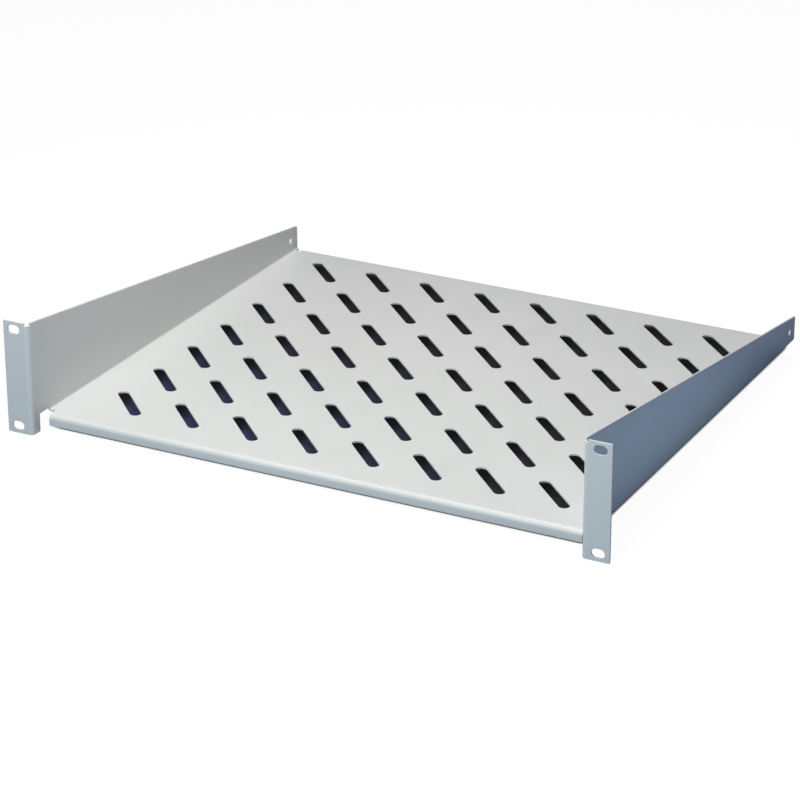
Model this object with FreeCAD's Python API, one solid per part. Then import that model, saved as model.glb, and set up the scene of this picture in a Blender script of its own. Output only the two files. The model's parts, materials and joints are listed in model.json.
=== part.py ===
import FreeCAD, Part
import math
import os

# Rack shelf for 19-inch racks, folded from one sheet of steel.
# X runs across, +Y points to the rear and +Z up. The origin is the centre of the four
# ear slots, on the rear face of the ears, which bears on the rack's rails.
# All sizes are in millimetres.

# Rack standard
rack_unit = 44.45           # height of one rack unit
unit_count = 2              # rack units that the ears cover
unit_gap = 0.8              # the ears are this much lower than their rack units
unit_hole_inset = 6.35      # from the end of the rack units to the nearest ear slot
ear_span = 482.6            # from the outer edge of one ear to the other

# Sheet and bends
sheet = 1.5                 # thickness of the sheet
wall_bend = 1.5             # inside radius where the walls leave the tray
flange_bend = 2.5           # inside radius where the flanges leave the tray
ear_bend = 2.0              # inside radius where an ear leaves its wall
corner_radius = 1.0         # rounding of the free corners of ears and walls

# Ears
ear_width = 21.3            # from the inside of a wall to the outer edge of its ear
ear_slot_edge = 8.75        # from the outer edge of an ear to the middle of its slots
ear_slot_length = 10.0
ear_slot_width = 6.8
ear_relief = 2.0            # depth of the notch at the top of an ear's bend

# Tray and flanges
depth = 400.0               # from the front of the ears to the rear flange
tray_rise = 12.5            # from the lower end of the ears to the top of the tray
flange_drop = 8.5           # from the top of the tray to the lower edge of a flange
flange_setback = 13.8       # from the front of the ears to the front flange
flange_end_gap = 5.2        # from the inside of a wall to the end of a flange
front_relief = 9.0          # length of the front corner reliefs, from the face of the flange
rear_relief = 5.5           # length of the rear corner reliefs, from the face of the flange

# Walls
rear_wall_height = 19.5     # above the tray, at the rear end
tab_depth = 10.0            # depth of the wall below the tray, behind the front of the ears
rear_hole_diameter = 5.0
rear_hole_edge = 10.5       # from the rear end of a wall to its hole
rear_hole_rise = 9.7        # from the top of the tray to the hole

# Vent slots
vent_length = 47.0
vent_width = 8.5
vent_angle = -45.0          # turned from +X towards the front
vent_pitch = 50.0           # wanted spacing; whole columns and rows are spread evenly
vent_side_margin = 46.75    # from the inside of a wall to the outermost column
vent_front_margin = 45.3    # from the face of the front flange to the first row
vent_rear_margin = 39.1     # from the face of the rear flange to the last row

# Places that follow from the sizes
unit_height = unit_count * rack_unit
ear_top = (unit_height - unit_gap) / 2
ear_bottom = -ear_top
ear_edge = ear_span / 2
ear_front = -sheet
tray_top = ear_bottom + tray_rise
tray_under = tray_top - sheet
wall_inside = ear_edge - ear_width
wall_outside = wall_inside + sheet
wall_foot = tray_top + wall_bend
wall_front = ear_bend
front_face = ear_front + flange_setback
rear_face = ear_front + depth
flange_bottom = tray_top - flange_drop
flange_end = wall_inside - flange_end_gap
relief_front = front_face + front_relief
relief_rear = rear_face - rear_relief
bend_inside = wall_inside - wall_bend
tab_rear = ear_front + tab_depth
cutter_margin = 2.0         # cutters reach this far past what they cut
tiny = 1e-6                 # lengths below this count as none

left = -1
right = 1


def on_xy(u, v):
    return FreeCAD.Vector(u, v, 0)


def on_xz(u, v):
    return FreeCAD.Vector(u, 0, v)


def on_yz(u, v):
    return FreeCAD.Vector(0, u, v)


def line(start, end):
    return Part.LineSegment(start, end).toShape()


def corner_points(before, corner, after, radius):
    """The start, middle and end of the arc that rounds a corner."""
    back = (before - corner).normalize()
    ahead = (after - corner).normalize()
    half_angle = back.getAngle(ahead) / 2
    run = radius / math.tan(half_angle)
    rise = radius / math.sin(half_angle) - radius
    middle = corner + (back + ahead).normalize() * rise
    return corner + back * run, middle, corner + ahead * run


def rounded_face(corners, plane):
    """A flat face from corners given as (u, v, radius), where radius 0 is sharp."""
    points = [plane(u, v) for u, v, radius in corners]
    edges = []
    ends = []
    for i, (u, v, radius) in enumerate(corners):
        after = points[(i + 1) % len(points)]
        if radius > 0:
            start, middle, end = corner_points(points[i - 1], points[i], after, radius)
            edges.append(Part.Arc(start, middle, end).toShape())
        else:
            start = points[i]
            end = points[i]
        ends.append((start, end))
    for i, (start, end) in enumerate(ends):
        last_end = ends[i - 1][1]
        if last_end.distanceToPoint(start) > tiny:
            edges.append(line(last_end, start))
    return Part.Face(Part.Wire(Part.__sortEdges__(edges)))


def moved(shape, x=0, y=0, z=0):
    shape.translate(FreeCAD.Vector(x, y, z))
    return shape


def mirrored(shape):
    """The same shape on the left-hand side."""
    return shape.mirror(FreeCAD.Vector(0, 0, 0), FreeCAD.Vector(1, 0, 0))


def both_sides(shape):
    return [shape, mirrored(shape)]


def tray_with_flanges():
    """Front flange, tray and rear flange, as one strip bent down at both ends."""
    section = rounded_face([
        (front_face, flange_bottom, 0),
        (front_face, tray_top, flange_bend + sheet),
        (rear_face, tray_top, flange_bend + sheet),
        (rear_face, flange_bottom, 0),
        (rear_face - sheet, flange_bottom, 0),
        (rear_face - sheet, tray_under, flange_bend),
        (front_face + sheet, tray_under, flange_bend),
        (front_face + sheet, flange_bottom, 0),
    ], on_yz)
    strip = section.extrude(FreeCAD.Vector(2 * flange_end, 0, 0))
    return moved(strip, x=-flange_end)


def tray_side():
    """The strip along the right wall: tray edge and the bend up to the wall's foot."""
    section = rounded_face([
        (bend_inside - flange_end_gap, tray_top, 0),
        (wall_inside, tray_top, wall_bend),
        (wall_inside, wall_foot, 0),
        (wall_outside, wall_foot, 0),
        (wall_outside, tray_under, wall_bend + sheet),
        (bend_inside - flange_end_gap, tray_under, 0),
    ], on_xz)
    strip = section.extrude(FreeCAD.Vector(0, rear_face - relief_front, 0))
    moved(strip, y=relief_front)
    relief = Part.makeBox(
        flange_end_gap + cutter_margin,
        rear_relief + cutter_margin,
        sheet + 2 * cutter_margin,
    )
    moved(relief, bend_inside - flange_end_gap - cutter_margin, relief_rear, tray_under - cutter_margin)
    return strip.cut(relief)


def wall():
    """The right wall: sloped top, and in front a tab that reaches below the tray."""
    outline = rounded_face([
        (wall_front, ear_bottom, 0),
        (tab_rear, ear_bottom, corner_radius),
        (tab_rear, wall_foot, corner_radius),
        (relief_front, wall_foot, 0),
        (rear_face, wall_foot, 0),
        (rear_face, tray_top + rear_wall_height, corner_radius),
        (wall_front, ear_top, 0),
    ], on_yz)
    plate = outline.extrude(FreeCAD.Vector(sheet, 0, 0))
    return moved(plate, x=wall_inside)


def ear():
    """The right ear with the bend that joins it to its wall, open at the top."""
    section = rounded_face([
        (wall_inside, wall_front, 0),
        (wall_inside, ear_front, ear_bend + sheet),
        (ear_edge, ear_front, 0),
        (ear_edge, 0, 0),
        (wall_outside, 0, ear_bend),
        (wall_outside, wall_front, 0),
    ], on_xy)
    plate = section.extrude(FreeCAD.Vector(0, 0, ear_top - ear_bottom))
    moved(plate, z=ear_bottom)
    corners = [edge for edge in plate.Edges if is_free_corner(edge)]
    plate = plate.makeFillet(corner_radius, corners)
    relief = Part.makeBox(
        ear_bend + sheet + cutter_margin,
        wall_front - ear_front + cutter_margin,
        ear_relief + cutter_margin,
    )
    moved(relief, wall_inside - cutter_margin, ear_front - cutter_margin, ear_top - ear_relief)
    return plate.cut(relief)


def is_free_corner(edge):
    """True for the short edges through the sheet at the outer corners of an ear."""
    box = edge.BoundBox
    return box.XMin > ear_edge - tiny and box.ZLength < tiny


def obround_cutter(centre, along, normal, length, width):
    """A prism with round ends, to cut one slot through the sheet about its middle plane."""
    across = normal.cross(along)
    half_run = along * ((length - width) / 2)
    half_width = across * (width / 2)
    tip = along * (length / 2)
    edges = [
        line(centre - half_run + half_width, centre + half_run + half_width),
        Part.Arc(centre + half_run + half_width, centre + tip, centre + half_run - half_width).toShape(),
        line(centre + half_run - half_width, centre - half_run - half_width),
        Part.Arc(centre - half_run - half_width, centre - tip, centre - half_run + half_width).toShape(),
    ]
    face = Part.Face(Part.Wire(edges))
    reach = sheet / 2 + cutter_margin
    face.translate(normal * -reach)
    return face.extrude(normal * (2 * reach))


def spread(start, end, wanted_pitch):
    """Evenly spread places from start to end, spaced as near as can be to the pitch."""
    count = max(1, round((end - start) / wanted_pitch))
    return [start + (end - start) * i / count for i in range(count + 1)]


def vent_cutters():
    turn = math.radians(vent_angle)
    along = FreeCAD.Vector(math.cos(turn), math.sin(turn), 0)
    normal = FreeCAD.Vector(0, 0, 1)
    outer_column = wall_inside - vent_side_margin
    columns = spread(-outer_column, outer_column, vent_pitch)
    rows = spread(front_face + vent_front_margin, rear_face - vent_rear_margin, vent_pitch)
    middle = (tray_top + tray_under) / 2
    cutters = []
    for y in rows:
        for x in columns:
            centre = FreeCAD.Vector(x, y, middle)
            cutters.append(obround_cutter(centre, along, normal, vent_length, vent_width))
    return cutters


def ear_slot_cutters():
    along = FreeCAD.Vector(1, 0, 0)
    normal = FreeCAD.Vector(0, 1, 0)
    rise = unit_height / 2 - unit_hole_inset
    cutters = []
    for side in (left, right):
        for z in (-rise, rise):
            centre = FreeCAD.Vector(side * (ear_edge - ear_slot_edge), ear_front / 2, z)
            cutters.append(obround_cutter(centre, along, normal, ear_slot_length, ear_slot_width))
    return cutters


def rear_hole_cutters():
    reach = sheet + 2 * cutter_margin
    place = FreeCAD.Vector(wall_inside - cutter_margin, rear_face - rear_hole_edge, tray_top + rear_hole_rise)
    drill = Part.makeCylinder(rear_hole_diameter / 2, reach, place, FreeCAD.Vector(1, 0, 0))
    return both_sides(drill)


def shelf():
    blank = tray_with_flanges()
    folds = both_sides(tray_side()) + both_sides(wall()) + both_sides(ear())
    folded = blank.fuse(folds).removeSplitter()
    return folded.cut(vent_cutters() + ear_slot_cutters() + rear_hole_cutters())


os.makedirs("parts", exist_ok=True)
part = shelf()
part.exportStep("parts/shelf.step")
box = part.BoundBox
print("shelf: solids", len(part.Solids), "valid", part.isValid(), "volume", round(part.Volume), "mm3")
print("size", round(box.XLength, 2), round(box.YLength, 2), round(box.ZLength, 2), "mm")
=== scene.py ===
import json
import math
import bmesh
import bpy
from mathutils import Matrix, Vector


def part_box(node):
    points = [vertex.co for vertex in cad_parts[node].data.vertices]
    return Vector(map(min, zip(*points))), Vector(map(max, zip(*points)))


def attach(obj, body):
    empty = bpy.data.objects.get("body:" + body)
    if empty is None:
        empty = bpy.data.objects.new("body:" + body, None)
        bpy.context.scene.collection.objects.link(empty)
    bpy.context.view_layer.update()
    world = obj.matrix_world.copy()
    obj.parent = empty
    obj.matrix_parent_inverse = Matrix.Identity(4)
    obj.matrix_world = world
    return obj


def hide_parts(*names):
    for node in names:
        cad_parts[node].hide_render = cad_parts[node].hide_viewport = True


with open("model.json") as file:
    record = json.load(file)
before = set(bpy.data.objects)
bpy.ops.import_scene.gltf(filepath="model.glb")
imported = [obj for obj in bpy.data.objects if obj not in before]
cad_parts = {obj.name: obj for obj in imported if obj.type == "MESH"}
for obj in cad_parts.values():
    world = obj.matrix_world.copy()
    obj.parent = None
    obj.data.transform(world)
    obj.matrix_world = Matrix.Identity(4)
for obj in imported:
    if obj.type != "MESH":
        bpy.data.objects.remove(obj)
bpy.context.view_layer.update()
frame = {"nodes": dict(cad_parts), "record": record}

mm = 0.001
tiny = 0.01 * mm  # places closer than this count as the same
sides = (-1, 1)  # left and right
mounts = {mount["name"]: mount for mount in frame["record"]["mounts"]}
print("frame loaded:", sorted(frame["nodes"]))


# small helpers for working in edit mode
def deselectAll():
    if bpy.context.mode != "OBJECT":
        bpy.ops.object.mode_set(mode="OBJECT")
    bpy.ops.object.select_all(action="DESELECT")


def near(a, b):
    return abs(a - b) < tiny


def pick(kind, test):  # selects what has all its corners where the test says, and returns how many
    bpy.ops.mesh.select_mode(type=kind)
    bpy.ops.mesh.select_all(action="DESELECT")
    mesh = bmesh.from_edit_mesh(bpy.context.edit_object.data)
    items = {"VERT": mesh.verts, "EDGE": mesh.edges, "FACE": mesh.faces}[kind]
    found = 0
    for item in items:
        corners = [item] if kind == "VERT" else item.verts
        if all(test(corner.co) for corner in corners):
            item.select_set(True)
            found += 1
    mesh.select_flush_mode()
    bmesh.update_edit_mesh(bpy.context.edit_object.data)
    return found


def pull(test, move):  # extrudes the picked edges into a new strip
    pick("EDGE", test)
    bpy.ops.mesh.extrude_region_move(TRANSFORM_OT_translate={"value": move})


def fold(test, centre, axis, degrees, steps):  # bends a new strip out of the picked edges
    pick("EDGE", test)
    angle = -math.radians(degrees)  # spin turns left-handed
    bpy.ops.mesh.spin(steps=steps, angle=angle, center=centre, axis=axis)


def rotate(axis, degrees):  # about the origin; with no window the operator turns the other way
    bpy.ops.transform.rotate(value=-math.radians(degrees), orient_axis=axis, center_override=(0, 0, 0))


def applyModifier(piece, name, kind, **settings):
    modifier = piece.modifiers.new(name, kind)
    for key, value in settings.items():
        setattr(modifier, key, value)
    bpy.context.view_layer.objects.active = piece
    bpy.ops.object.modifier_apply(modifier=name)


def obround(length, width, steps):  # a flat slot outline about the origin, made from a plane
    bpy.ops.mesh.primitive_plane_add(size=1)
    bpy.ops.object.mode_set(mode="EDIT")
    bpy.ops.transform.resize(value=(length, width, 1))
    bpy.ops.mesh.bevel(offset=width / 2, segments=steps, affect="VERTICES", clamp_overlap=False)
    bpy.ops.mesh.remove_doubles(threshold=tiny)
    return bpy.context.edit_object


# the folded shelf
shelf = {
    "sheet": 1.5 * mm,
    "wallBend": 1.5 * mm,  # inside radii of the bends
    "flangeBend": 2.5 * mm,
    "earBend": 2.0 * mm,
    "earRelief": 2.0 * mm,  # notch at the top of an ear's bend
    "cornerRadius": 1.0 * mm,
    "earWidth": 21.3 * mm,  # from the inside of a wall
    "flangeDrop": 8.5 * mm,
    "flangeSetback": 13.8 * mm,  # behind the front of the ears
    "flangeEndGap": 5.2 * mm,
    "frontRelief": 9.0 * mm,
    "rearRelief": 5.5 * mm,
    "rearWallHeight": 19.5 * mm,
    "tabDepth": 10.0 * mm,
    "bendSteps": 10,
    "cornerSteps": 5,
    "cornerSlack": 0.05 * mm,  # how far off an edge at a free corner may lie and still be found
    "earSlotSteps": 8,  # steps in a quarter turn of a slot end
    "rearHoleCorners": 32,
    "edgeSoftness": 0.22 * mm,  # the coat rounds the cut edges
    "edgeSteps": 3,
    "edgeAngle": 50,  # edges that turn by more than this are rounded
    "smoothAngle": 40,  # edges that turn by less than this are shaded smooth
}
vents = {
    "length": 47.0 * mm,
    "width": 8.5 * mm,
    "slant": -45.0,
    "columns": 8,
    "rows": 7,
    "sideMargin": 46.75 * mm,  # from the inside of a wall to the outer column
    "frontMargin": 45.3 * mm,  # from the flanges to the first and last row
    "rearMargin": 39.1 * mm,
    "endSteps": 6,  # steps in a quarter turn of a slot end
}

# places that follow from the frame
boxLow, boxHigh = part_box("shelf")
sheet = shelf["sheet"]
earEdge = boxHigh.x
earFront = boxLow.y
earBottom, earTop = boxLow.z, boxHigh.z
trayTop = mounts["tray_top"]["pos_m"][2]
wallInside = earEdge - shelf["earWidth"]
wallOutside = wallInside + sheet
wallFoot = trayTop + shelf["wallBend"]
wallFront = earFront + sheet + shelf["earBend"]
frontFace = earFront + shelf["flangeSetback"]
rearFace = boxHigh.y
bendInside = wallInside - shelf["wallBend"]
flangeEnd = wallInside - shelf["flangeEndGap"]
flangeBendOuter = shelf["flangeBend"] + sheet
earBendOuter = shelf["earBend"] + sheet
reliefFront = frontFace + shelf["frontRelief"]
reliefRear = rearFace - shelf["rearRelief"]
tabRear = earFront + shelf["tabDepth"]
rearTop = trayTop + shelf["rearWallHeight"]
earBendTop = earTop - shelf["earRelief"]
cutterDepth = 4 * sheet  # cutters reach past both faces of the sheet


def ventCell(pitchX, pitchY):  # one slot with the piece of tray round it
    cell = obround(vents["length"], vents["width"], vents["endSteps"])
    bpy.ops.mesh.delete(type="ONLY_FACE")
    bpy.ops.mesh.select_all(action="SELECT")
    rotate("Z", vents["slant"])
    bpy.ops.mesh.primitive_plane_add(size=1)
    bpy.ops.transform.resize(value=(pitchX, pitchY, 1))
    bpy.ops.mesh.delete(type="ONLY_FACE")
    # the border gets as many corners as the slot, so that the ring between them is clean
    for side in sides:
        pick("EDGE", lambda p: near(p.y, side * pitchY / 2))
        bpy.ops.mesh.subdivide(number_cuts=vents["endSteps"])
        pick("EDGE", lambda p: near(p.x, side * pitchX / 2))
        bpy.ops.mesh.subdivide(number_cuts=vents["endSteps"] - 1)
    bpy.ops.mesh.select_all(action="SELECT")
    bpy.ops.mesh.bridge_edge_loops()
    return cell


def slottedTray():
    outerColumn = wallInside - vents["sideMargin"]
    firstRow = frontFace + vents["frontMargin"]
    lastRow = rearFace - vents["rearMargin"]
    pitchX = 2 * outerColumn / (vents["columns"] - 1)
    pitchY = (lastRow - firstRow) / (vents["rows"] - 1)
    tray = ventCell(pitchX, pitchY)
    bpy.ops.mesh.select_all(action="SELECT")
    bpy.ops.transform.translate(value=(-outerColumn, firstRow, trayTop))
    bpy.ops.object.mode_set(mode="OBJECT")
    copies = {"use_relative_offset": False, "use_constant_offset": True, "use_merge_vertices": True}
    applyModifier(tray, "columns", "ARRAY", count=vents["columns"], merge_threshold=tiny,
                  constant_offset_displace=(pitchX, 0, 0), **copies)
    applyModifier(tray, "rows", "ARRAY", count=vents["rows"], merge_threshold=tiny,
                  constant_offset_displace=(0, pitchY, 0), **copies)
    bpy.ops.object.mode_set(mode="EDIT")
    # plain margins out to where the folds begin
    fieldX = outerColumn + pitchX / 2
    fieldFront = firstRow - pitchY / 2
    fieldRear = lastRow + pitchY / 2
    for side in sides:
        pull(lambda p: near(p.x, side * fieldX), (side * (flangeEnd - fieldX), 0, 0))
    pull(lambda p: near(p.y, fieldFront), (0, reliefFront - fieldFront, 0))
    pull(lambda p: near(p.y, fieldRear), (0, reliefRear - fieldRear, 0))
    for side in sides:
        pull(lambda p: near(p.x, side * flangeEnd), (side * (bendInside - flangeEnd), 0, 0))
    return tray


def foldFlanges():
    onTray = flangeEnd + tiny
    steps = shelf["bendSteps"]
    bendHeight = trayTop - flangeBendOuter
    drop = (0, 0, flangeBendOuter - shelf["flangeDrop"])
    for start, face, turn in ((reliefFront, frontFace, 1), (reliefRear, rearFace, -1)):
        tangent = face + turn * flangeBendOuter
        pull(lambda p: near(p.y, start) and abs(p.x) < onTray, (0, tangent - start, 0))
        fold(lambda p: near(p.y, tangent), (0, tangent, bendHeight), (1, 0, 0), turn * 90, steps)
        pull(lambda p: near(p.y, face) and near(p.z, bendHeight), drop)


def foldWall(side):
    steps = shelf["bendSteps"]
    bendX = side * bendInside
    wallX = side * wallInside
    fold(lambda p: near(p.x, bendX), (bendX, 0, wallFoot), (0, 1, 0), -side * 90, steps)
    onBend = lambda p: side * p.x > bendInside - tiny
    pull(lambda p: near(p.y, reliefRear) and onBend(p), (0, rearFace - reliefRear, 0))
    # the wall goes straight up, is drawn out to the front, and its top is cut to the slope
    onFoot = lambda p: near(p.x, wallX) and near(p.z, wallFoot)
    pull(onFoot, (0, 0, earTop - wallFoot))
    pull(lambda p: near(p.x, wallX) and near(p.y, reliefFront), (0, tabRear - reliefFront, 0))
    pull(lambda p: near(p.x, wallX) and near(p.y, tabRear), (0, wallFront - tabRear, 0))
    pull(lambda p: onFoot(p) and p.y < tabRear + tiny, (0, 0, earBottom - wallFoot))
    onWall = lambda p: near(p.x, wallX) and p.z > wallFoot - tiny
    pick("FACE", onWall)
    slope = Vector((0, earTop - rearTop, rearFace - wallFront))
    bpy.ops.mesh.bisect(plane_co=(wallX, wallFront, earTop), plane_no=slope, clear_outer=True)
    # an edge at the height where the ear's bend ends
    pick("FACE", lambda p: onWall(p) and p.y < reliefFront + tiny)
    bpy.ops.mesh.bisect(plane_co=(wallX, wallFront, earBendTop), plane_no=(0, 0, 1))


def foldEar(side):
    wallX = side * wallInside
    earX = side * (wallInside + earBendOuter)
    onBend = lambda p: near(p.x, wallX) and near(p.y, wallFront) and p.z < earBendTop + tiny
    fold(onBend, (earX, wallFront, 0), (0, 0, 1), side * 90, shelf["bendSteps"])
    pull(lambda p: near(p.x, earX) and near(p.y, earFront), (side * earEdge - earX, 0, 0))
    pull(lambda p: near(p.y, earFront) and near(p.z, earBendTop), (0, 0, shelf["earRelief"]))


def roundCorners(piece):  # rounds the short edges through the sheet at the free corners
    bpy.context.view_layer.objects.active = piece
    bpy.ops.object.mode_set(mode="EDIT")
    bpy.ops.mesh.select_mode(type="EDGE")
    bpy.ops.mesh.select_all(action="DESELECT")
    freeCorners = [
        (earEdge, earFront, earBottom),
        (earEdge, earFront, earTop),
        (wallInside, tabRear, earBottom),
        (wallInside, tabRear, wallFoot),
        (wallInside, rearFace, rearTop),
    ]
    starts = [Vector((side * x, y, z)) for x, y, z in freeCorners for side in sides]
    slack = shelf["cornerSlack"]
    mesh = bmesh.from_edit_mesh(piece.data)
    found = 0
    for edge in mesh.edges:
        a, b = (corner.co for corner in edge.verts)
        through = abs((a - b).length - sheet) < slack
        if through and any(min((a - s).length, (b - s).length) < slack for s in starts):
            edge.select_set(True)
            found += 1
    bmesh.update_edit_mesh(piece.data)
    bpy.ops.mesh.bevel(offset=shelf["cornerRadius"], segments=shelf["cornerSteps"], affect="EDGES")
    bpy.ops.object.mode_set(mode="OBJECT")
    print("corners rounded:", found)


def holeCutter():  # all the holes that are punched after folding, as one cutter
    slots = mounts["ear_slots"]["dims"]
    bits = []
    for sideX in sides:
        for sideZ in sides:
            deselectAll()
            bit = obround(slots["slot_length_mm"] * mm, 2 * slots["hole_r_mm"] * mm, shelf["earSlotSteps"])
            bpy.ops.mesh.select_all(action="SELECT")
            bpy.ops.mesh.extrude_region_move(TRANSFORM_OT_translate={"value": (0, 0, cutterDepth)})
            bpy.ops.mesh.select_all(action="SELECT")
            rotate("X", 90)
            slotX = sideX * slots["spacing_x_mm"] / 2 * mm
            slotZ = sideZ * slots["spacing_y_mm"] / 2 * mm
            bpy.ops.transform.translate(value=(slotX, cutterDepth / 2, slotZ))
            bpy.ops.mesh.normals_make_consistent(inside=False)
            bpy.ops.object.mode_set(mode="OBJECT")
            bits.append(bit)
    for name in ("rear_hole_left", "rear_hole_right"):
        hole = mounts[name]
        deselectAll()
        bpy.ops.mesh.primitive_cylinder_add(vertices=shelf["rearHoleCorners"],
                                            radius=hole["dims"]["r_mm"] * mm, depth=cutterDepth)
        bpy.ops.object.mode_set(mode="EDIT")
        rotate("Y", -90)
        bpy.ops.transform.translate(value=hole["pos_m"])
        bpy.ops.object.mode_set(mode="OBJECT")
        bits.append(bpy.context.object)
    deselectAll()
    for bit in bits:
        bit.select_set(True)
    bpy.context.view_layer.objects.active = bits[0]
    bpy.ops.object.join()
    return bits[0]


def foldedShelf():
    deselectAll()
    piece = slottedTray()
    foldFlanges()
    for side in sides:
        foldWall(side)
        foldEar(side)
    bpy.ops.mesh.select_all(action="SELECT")
    bpy.ops.mesh.remove_doubles(threshold=tiny)
    bpy.ops.mesh.normals_make_consistent(inside=False)
    bpy.ops.object.mode_set(mode="OBJECT")
    trayFace = max(piece.data.polygons, key=lambda face: abs(face.normal.z) * face.area)
    if trayFace.normal.z < 0:  # the sheet's thickness goes below the tray and outside the walls
        piece.data.flip_normals()
    print("sheet folded:", len(piece.data.polygons), "faces")
    applyModifier(piece, "thickness", "SOLIDIFY", thickness=sheet, offset=-1, use_even_offset=True)
    roundCorners(piece)
    cutter = holeCutter()
    deselectAll()
    applyModifier(piece, "holes", "BOOLEAN", operation="DIFFERENCE", object=cutter, solver="EXACT")
    bpy.data.objects.remove(cutter)
    applyModifier(piece, "softEdges", "BEVEL", width=shelf["edgeSoftness"], segments=shelf["edgeSteps"],
                  limit_method="ANGLE", angle_limit=math.radians(shelf["edgeAngle"]))
    bpy.ops.object.mode_set(mode="EDIT")
    if pick("VERT", lambda p: p.y < earFront):  # the rounding must not stand proud of the ears
        bpy.ops.transform.resize(value=(1, 0, 1), center_override=(0, earFront, 0))
    deselectAll()
    piece.select_set(True)
    bpy.ops.object.shade_smooth_by_angle(angle=math.radians(shelf["smoothAngle"]))
    applyModifier(piece, "flatFaces", "WEIGHTED_NORMAL", keep_sharp=True)
    piece.name = "folded_shelf"
    piece.data.name = "folded_shelf"
    print("shelf finished:", len(piece.data.polygons), "faces")
    return piece


# helpers for the materials
def addNode(tree, kind, **settings):
    node = tree.nodes.new(kind)
    for key, value in settings.items():
        if key in node.inputs:
            node.inputs[key].default_value = value
        else:
            setattr(node, key, value)
    return node


def noise(tree, where, scale, detail):
    node = addNode(tree, "ShaderNodeTexNoise", Scale=scale, Detail=detail)
    tree.links.new(where, node.inputs["Vector"])
    return node.outputs["Fac"]


def mapRange(tree, value, start, end, low=0, high=1, kind="LINEAR"):
    node = addNode(tree, "ShaderNodeMapRange", interpolation_type=kind)
    for name, number in (("From Min", start), ("From Max", end), ("To Min", low), ("To Max", high)):
        node.inputs[name].default_value = number
    tree.links.new(value, node.inputs["Value"])
    return node.outputs["Result"]


def fade(tree, value, start, end):  # from 0 to 1, with soft ends
    return mapRange(tree, value, start, end, kind="SMOOTHSTEP")


def multiply(tree, a, b):
    node = addNode(tree, "ShaderNodeMath", operation="MULTIPLY")
    tree.links.new(a, node.inputs[0])
    tree.links.new(b, node.inputs[1])
    return node.outputs[0]


def mixColors(tree, factor, a, b):  # a and b are colours or outputs
    node = addNode(tree, "ShaderNodeMix", data_type="RGBA")
    tree.links.new(factor, node.inputs[0])
    for socket, value in ((node.inputs[6], a), (node.inputs[7], b)):  # the node's two colour sockets
        if isinstance(value, tuple):
            socket.default_value = (*value, 1)
        else:
            tree.links.new(value, socket)
    return node.outputs[2]


def mixShaders(tree, kind, a, b, factor=None):
    node = addNode(tree, kind)
    inputs = [socket for socket in node.inputs if socket.type == "SHADER"]
    tree.links.new(a.outputs[0], inputs[0])
    tree.links.new(b.outputs[0], inputs[1])
    if factor:
        tree.links.new(factor, node.inputs[0])
    return node


# light grey powder coat
coat = {
    "color": (0.60, 0.605, 0.595),
    "shade": 0.035,  # how far the tone drifts over the sheet
    "toneNoise": (7, 3),  # scale and detail
    "roughness": 0.42,
    "roughnessDrift": 0.06,
    "glossNoise": (45, 4),
    "noiseRange": (0.3, 0.7),  # noise seldom leaves this range
    "peelSize": 1.6 * mm,  # bumps of the orange peel
    "peelDetail": 2,
    "grainSize": 0.45 * mm,
    "grainDetail": 1,
    "grainShare": 0.3,  # height of the grain as a share of the peel's
    "bumpHeight": 0.06 * mm,
}


def powderCoat():
    material = bpy.data.materials.new("powderCoat")
    material.use_nodes = True
    tree = material.node_tree
    shader = tree.nodes["Principled BSDF"]
    where = addNode(tree, "ShaderNodeTexCoord").outputs["Object"]
    # tone drifts slowly over the sheet
    drift = mapRange(tree, noise(tree, where, *coat["toneNoise"]), *coat["noiseRange"])
    darker = tuple(part * (1 - coat["shade"]) for part in coat["color"])
    tree.links.new(mixColors(tree, drift, darker, coat["color"]), shader.inputs["Base Color"])
    # gloss varies with how the powder flowed out
    low = coat["roughness"] - coat["roughnessDrift"]
    high = coat["roughness"] + coat["roughnessDrift"]
    gloss = mapRange(tree, noise(tree, where, *coat["glossNoise"]), *coat["noiseRange"], low, high)
    tree.links.new(gloss, shader.inputs["Roughness"])
    # orange peel with a finer grain on it
    peel = noise(tree, where, 1 / coat["peelSize"], coat["peelDetail"])
    grain = noise(tree, where, 1 / coat["grainSize"], coat["grainDetail"])
    height = addNode(tree, "ShaderNodeMath", operation="MULTIPLY_ADD")
    height.inputs[1].default_value = coat["grainShare"]
    tree.links.new(grain, height.inputs[0])
    tree.links.new(peel, height.inputs[2])
    bump = addNode(tree, "ShaderNodeBump", Distance=coat["bumpHeight"])
    tree.links.new(height.outputs[0], bump.inputs["Height"])
    tree.links.new(bump.outputs["Normal"], shader.inputs["Normal"])
    print("powder coat mixed")
    return material


# plain pale floor, with painted shade below the tray
stage = {
    "floorSize": 14.0,
    "floorGlow": 0.96,  # the floor is mostly as bright as this, whatever light falls on it
    "floorColor": (0.06, 0.06, 0.06),
    "bounce": (0.25, 0.345, 0.48),  # the light that the shelf gets back from the floor in front of it
    "bounceSteps": (  # and beside it, beside its rear end and behind it: from where to where it turns
        ((10 * mm, 60 * mm), (0.50, 0.67, 0.94)),
        ((180 * mm, 400 * mm), (0.255, 0.35, 0.575)),
        ((402 * mm, 430 * mm), (0.31, 0.35, 0.47)),
    ),
    "contactX": 44 * mm,  # this close to the shelf the floor lies in its shade and gives less light back
    "contactY": 8 * mm,
    "shadeNear": (0.092, 0.080, 0.210),  # painted shade under the tray, lighter and violet at the front left and grey elsewhere
    "shadeFar": (0.043, 0.042, 0.050),
    "shadeHaze": 0.0075,  # even the darkest part is not quite black
    "shadeLeft": (-2 * mm, 14 * mm),  # inwards from walls and flanges: where the painted shade starts and is full
    "shadeRight": (6.2 * mm, 9.2 * mm),
    "shadeFront": (4.5 * mm, 7.5 * mm),
    "shadeRear": (-16 * mm, -4 * mm),
}


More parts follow.
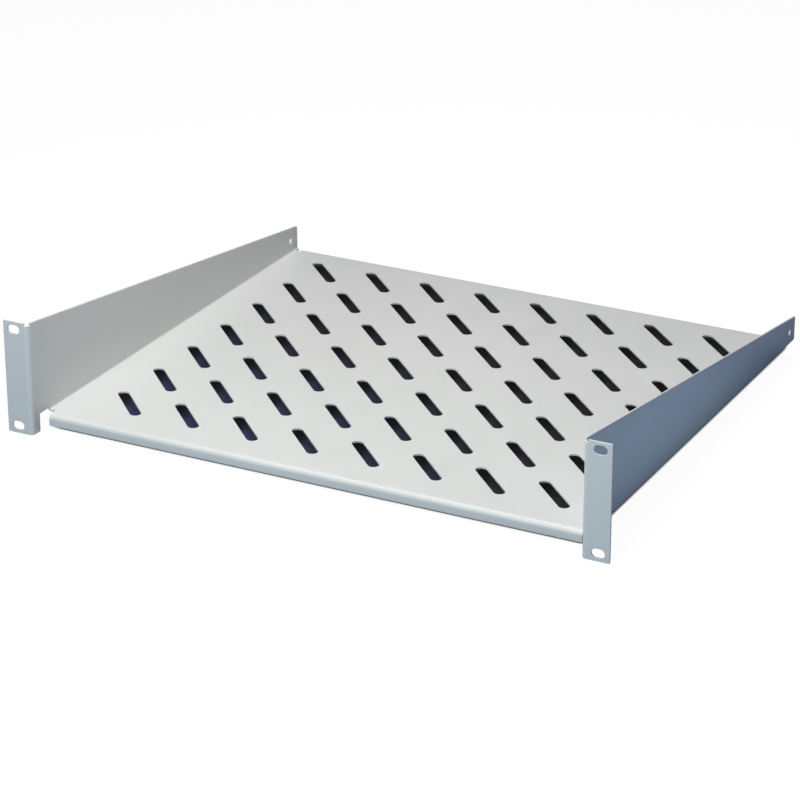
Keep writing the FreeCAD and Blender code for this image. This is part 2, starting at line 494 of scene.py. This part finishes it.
def softRectangle(tree, place, edgesX, edgesY):  # 1 inside; an edge is where it starts and is full
    left, right = (fade(tree, place.outputs["X"], *edge) for edge in edgesX)
    front, rear = (fade(tree, place.outputs["Y"], *edge) for edge in edgesY)
    return multiply(tree, multiply(tree, left, right), multiply(tree, front, rear))


def paleFloor(tree, place):  # looks pale to the camera, and gives the shelf a weaker and bluer light
    paint = addNode(tree, "ShaderNodeBsdfDiffuse", Color=(*stage["floorColor"], 1))
    glow = addNode(tree, "ShaderNodeEmission", Strength=stage["floorGlow"])
    seen = mixShaders(tree, "ShaderNodeAddShader", paint, glow)
    back = stage["bounce"]
    for span, color in stage["bounceSteps"]:
        back = mixColors(tree, fade(tree, place.outputs["Y"], *span), back, color)
    edgeX = wallOutside + stage["contactX"]
    contactX = ((-edgeX, -wallOutside), (edgeX, wallOutside))
    contactY = ((frontFace - stage["contactY"], frontFace), (rearFace + stage["contactY"], rearFace))
    contact = softRectangle(tree, place, contactX, contactY)
    bounce = addNode(tree, "ShaderNodeEmission")
    tree.links.new(mixColors(tree, contact, back, (0, 0, 0)), bounce.inputs["Color"])
    cameraRay = addNode(tree, "ShaderNodeLightPath").outputs["Is Camera Ray"]
    return mixShaders(tree, "ShaderNodeMixShader", bounce, seen, cameraRay)


# painted shade under the tray: dark, lighter and violet towards the front left, with a faint glow
def paintedShadeFloor(tree, place):
    toLeft = fade(tree, place.outputs["X"], wallInside, -wallInside)
    toFront = fade(tree, place.outputs["Y"], rearFace, frontFace)
    color = mixColors(tree, multiply(tree, toLeft, toFront), stage["shadeFar"], stage["shadeNear"])
    shade = addNode(tree, "ShaderNodeBsdfDiffuse")
    tree.links.new(color, shade.inputs["Color"])
    haze = addNode(tree, "ShaderNodeEmission", Strength=stage["shadeHaze"])
    return mixShaders(tree, "ShaderNodeAddShader", shade, haze)


def paintedShadeZone(tree, place):  # painted shade: shows through the slots, and as a thin painted shadow line below front flange and right wall
    left = [inset - wallInside for inset in stage["shadeLeft"]]
    right = [wallInside - inset for inset in stage["shadeRight"]]
    front = [frontFace + inset for inset in stage["shadeFront"]]
    rear = [rearFace - inset for inset in stage["shadeRear"]]
    return softRectangle(tree, place, (left, right), (front, rear))


# the pale floor, with painted shade under the tray
def floorWithPaintedShade():
    material = bpy.data.materials.new("floorWithPaintedShade")
    material.use_nodes = True
    tree = material.node_tree
    tree.nodes.clear()
    place = addNode(tree, "ShaderNodeSeparateXYZ")
    tree.links.new(addNode(tree, "ShaderNodeTexCoord").outputs["Object"], place.inputs[0])
    pale = paleFloor(tree, place)
    shadePainted = paintedShadeFloor(tree, place)
    floor = mixShaders(tree, "ShaderNodeMixShader", pale, shadePainted, paintedShadeZone(tree, place))
    tree.links.new(floor.outputs[0], addNode(tree, "ShaderNodeOutputMaterial").inputs["Surface"])
    return material


def addStage():
    deselectAll()
    bpy.ops.mesh.primitive_plane_add(size=1)
    bpy.ops.object.mode_set(mode="EDIT")
    bpy.ops.transform.resize(value=(stage["floorSize"], stage["floorSize"], 1))
    bpy.ops.transform.translate(value=(0, 0, earBottom))
    bpy.ops.object.mode_set(mode="OBJECT")
    floor = bpy.context.object
    floor.name = "floor"
    floor.data.materials.append(floorWithPaintedShade())
    print("floor laid")


# soft studio light
sky = {"color": (0.7, 0.8, 1.0), "strength": 0.02}
lamps = {
    "over": {"place": (-0.06, 0.0, 0.6), "size": 0.5, "power": 3.15, "color": (1.0, 0.98, 0.89)},
    "rear": {"place": (0.0, 0.61, 1.1), "size": 0.5, "power": 7.0, "color": (0.94, 0.92, 1.0)},
    "front": {"place": (0.0, -0.84, 0.57), "size": 0.5, "power": 8.0, "color": (0.86, 0.955, 1.0)},
}


def addLights():
    world = bpy.data.worlds.new("sky")
    world.use_nodes = True
    background = world.node_tree.nodes["Background"]
    background.inputs["Color"].default_value = (*sky["color"], 1)
    background.inputs["Strength"].default_value = sky["strength"]
    bpy.context.scene.world = world
    middle = Vector((0, (earFront + rearFace) / 2, trayTop))
    for name, light in lamps.items():
        data = bpy.data.lights.new(name, "AREA")
        data.size = light["size"]
        data.energy = light["power"]
        data.color = light["color"]
        lamp = bpy.data.objects.new(name, data)
        lamp.location = light["place"]
        lamp.rotation_euler = (middle - lamp.location).to_track_quat("-Z", "Y").to_euler()
        lamp.visible_camera = False
        bpy.context.scene.collection.objects.link(lamp)
    bpy.context.scene.view_settings.view_transform = "Standard"
    print("lights set:", sorted(lamps))


# camera at the photograph's viewing angle
camera = {
    "place": (0.97165, -1.72097, 0.88847),
    "yaw": 27.328,
    "down": 23.549,
    "roll": -0.097,
    "focalPixels": 3098.0,
    "framePixels": 800,
    "sensor": 36,  # in millimetres, like the lens
    "reach": 50,  # nothing further away shows
}


def addCamera():
    data = bpy.data.cameras.new("camera")
    data.sensor_width = camera["sensor"]
    data.lens = camera["focalPixels"] / camera["framePixels"] * camera["sensor"]
    data.clip_end = camera["reach"]
    viewer = bpy.data.objects.new("camera", data)
    bpy.context.scene.collection.objects.link(viewer)
    turn = Matrix.Rotation(math.radians(camera["yaw"]), 4, "Z")
    tilt = Matrix.Rotation(math.radians(90 - camera["down"]), 4, "X")
    roll = Matrix.Rotation(math.radians(camera["roll"]), 4, "Z")
    viewer.matrix_world = Matrix.Translation(camera["place"]) @ turn @ tilt @ roll
    bpy.context.scene.camera = viewer
    print("camera placed")


addCamera()
addLights()
addStage()
piece = foldedShelf()
piece.data.materials.append(powderCoat())
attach(piece, "root")
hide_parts("shelf")
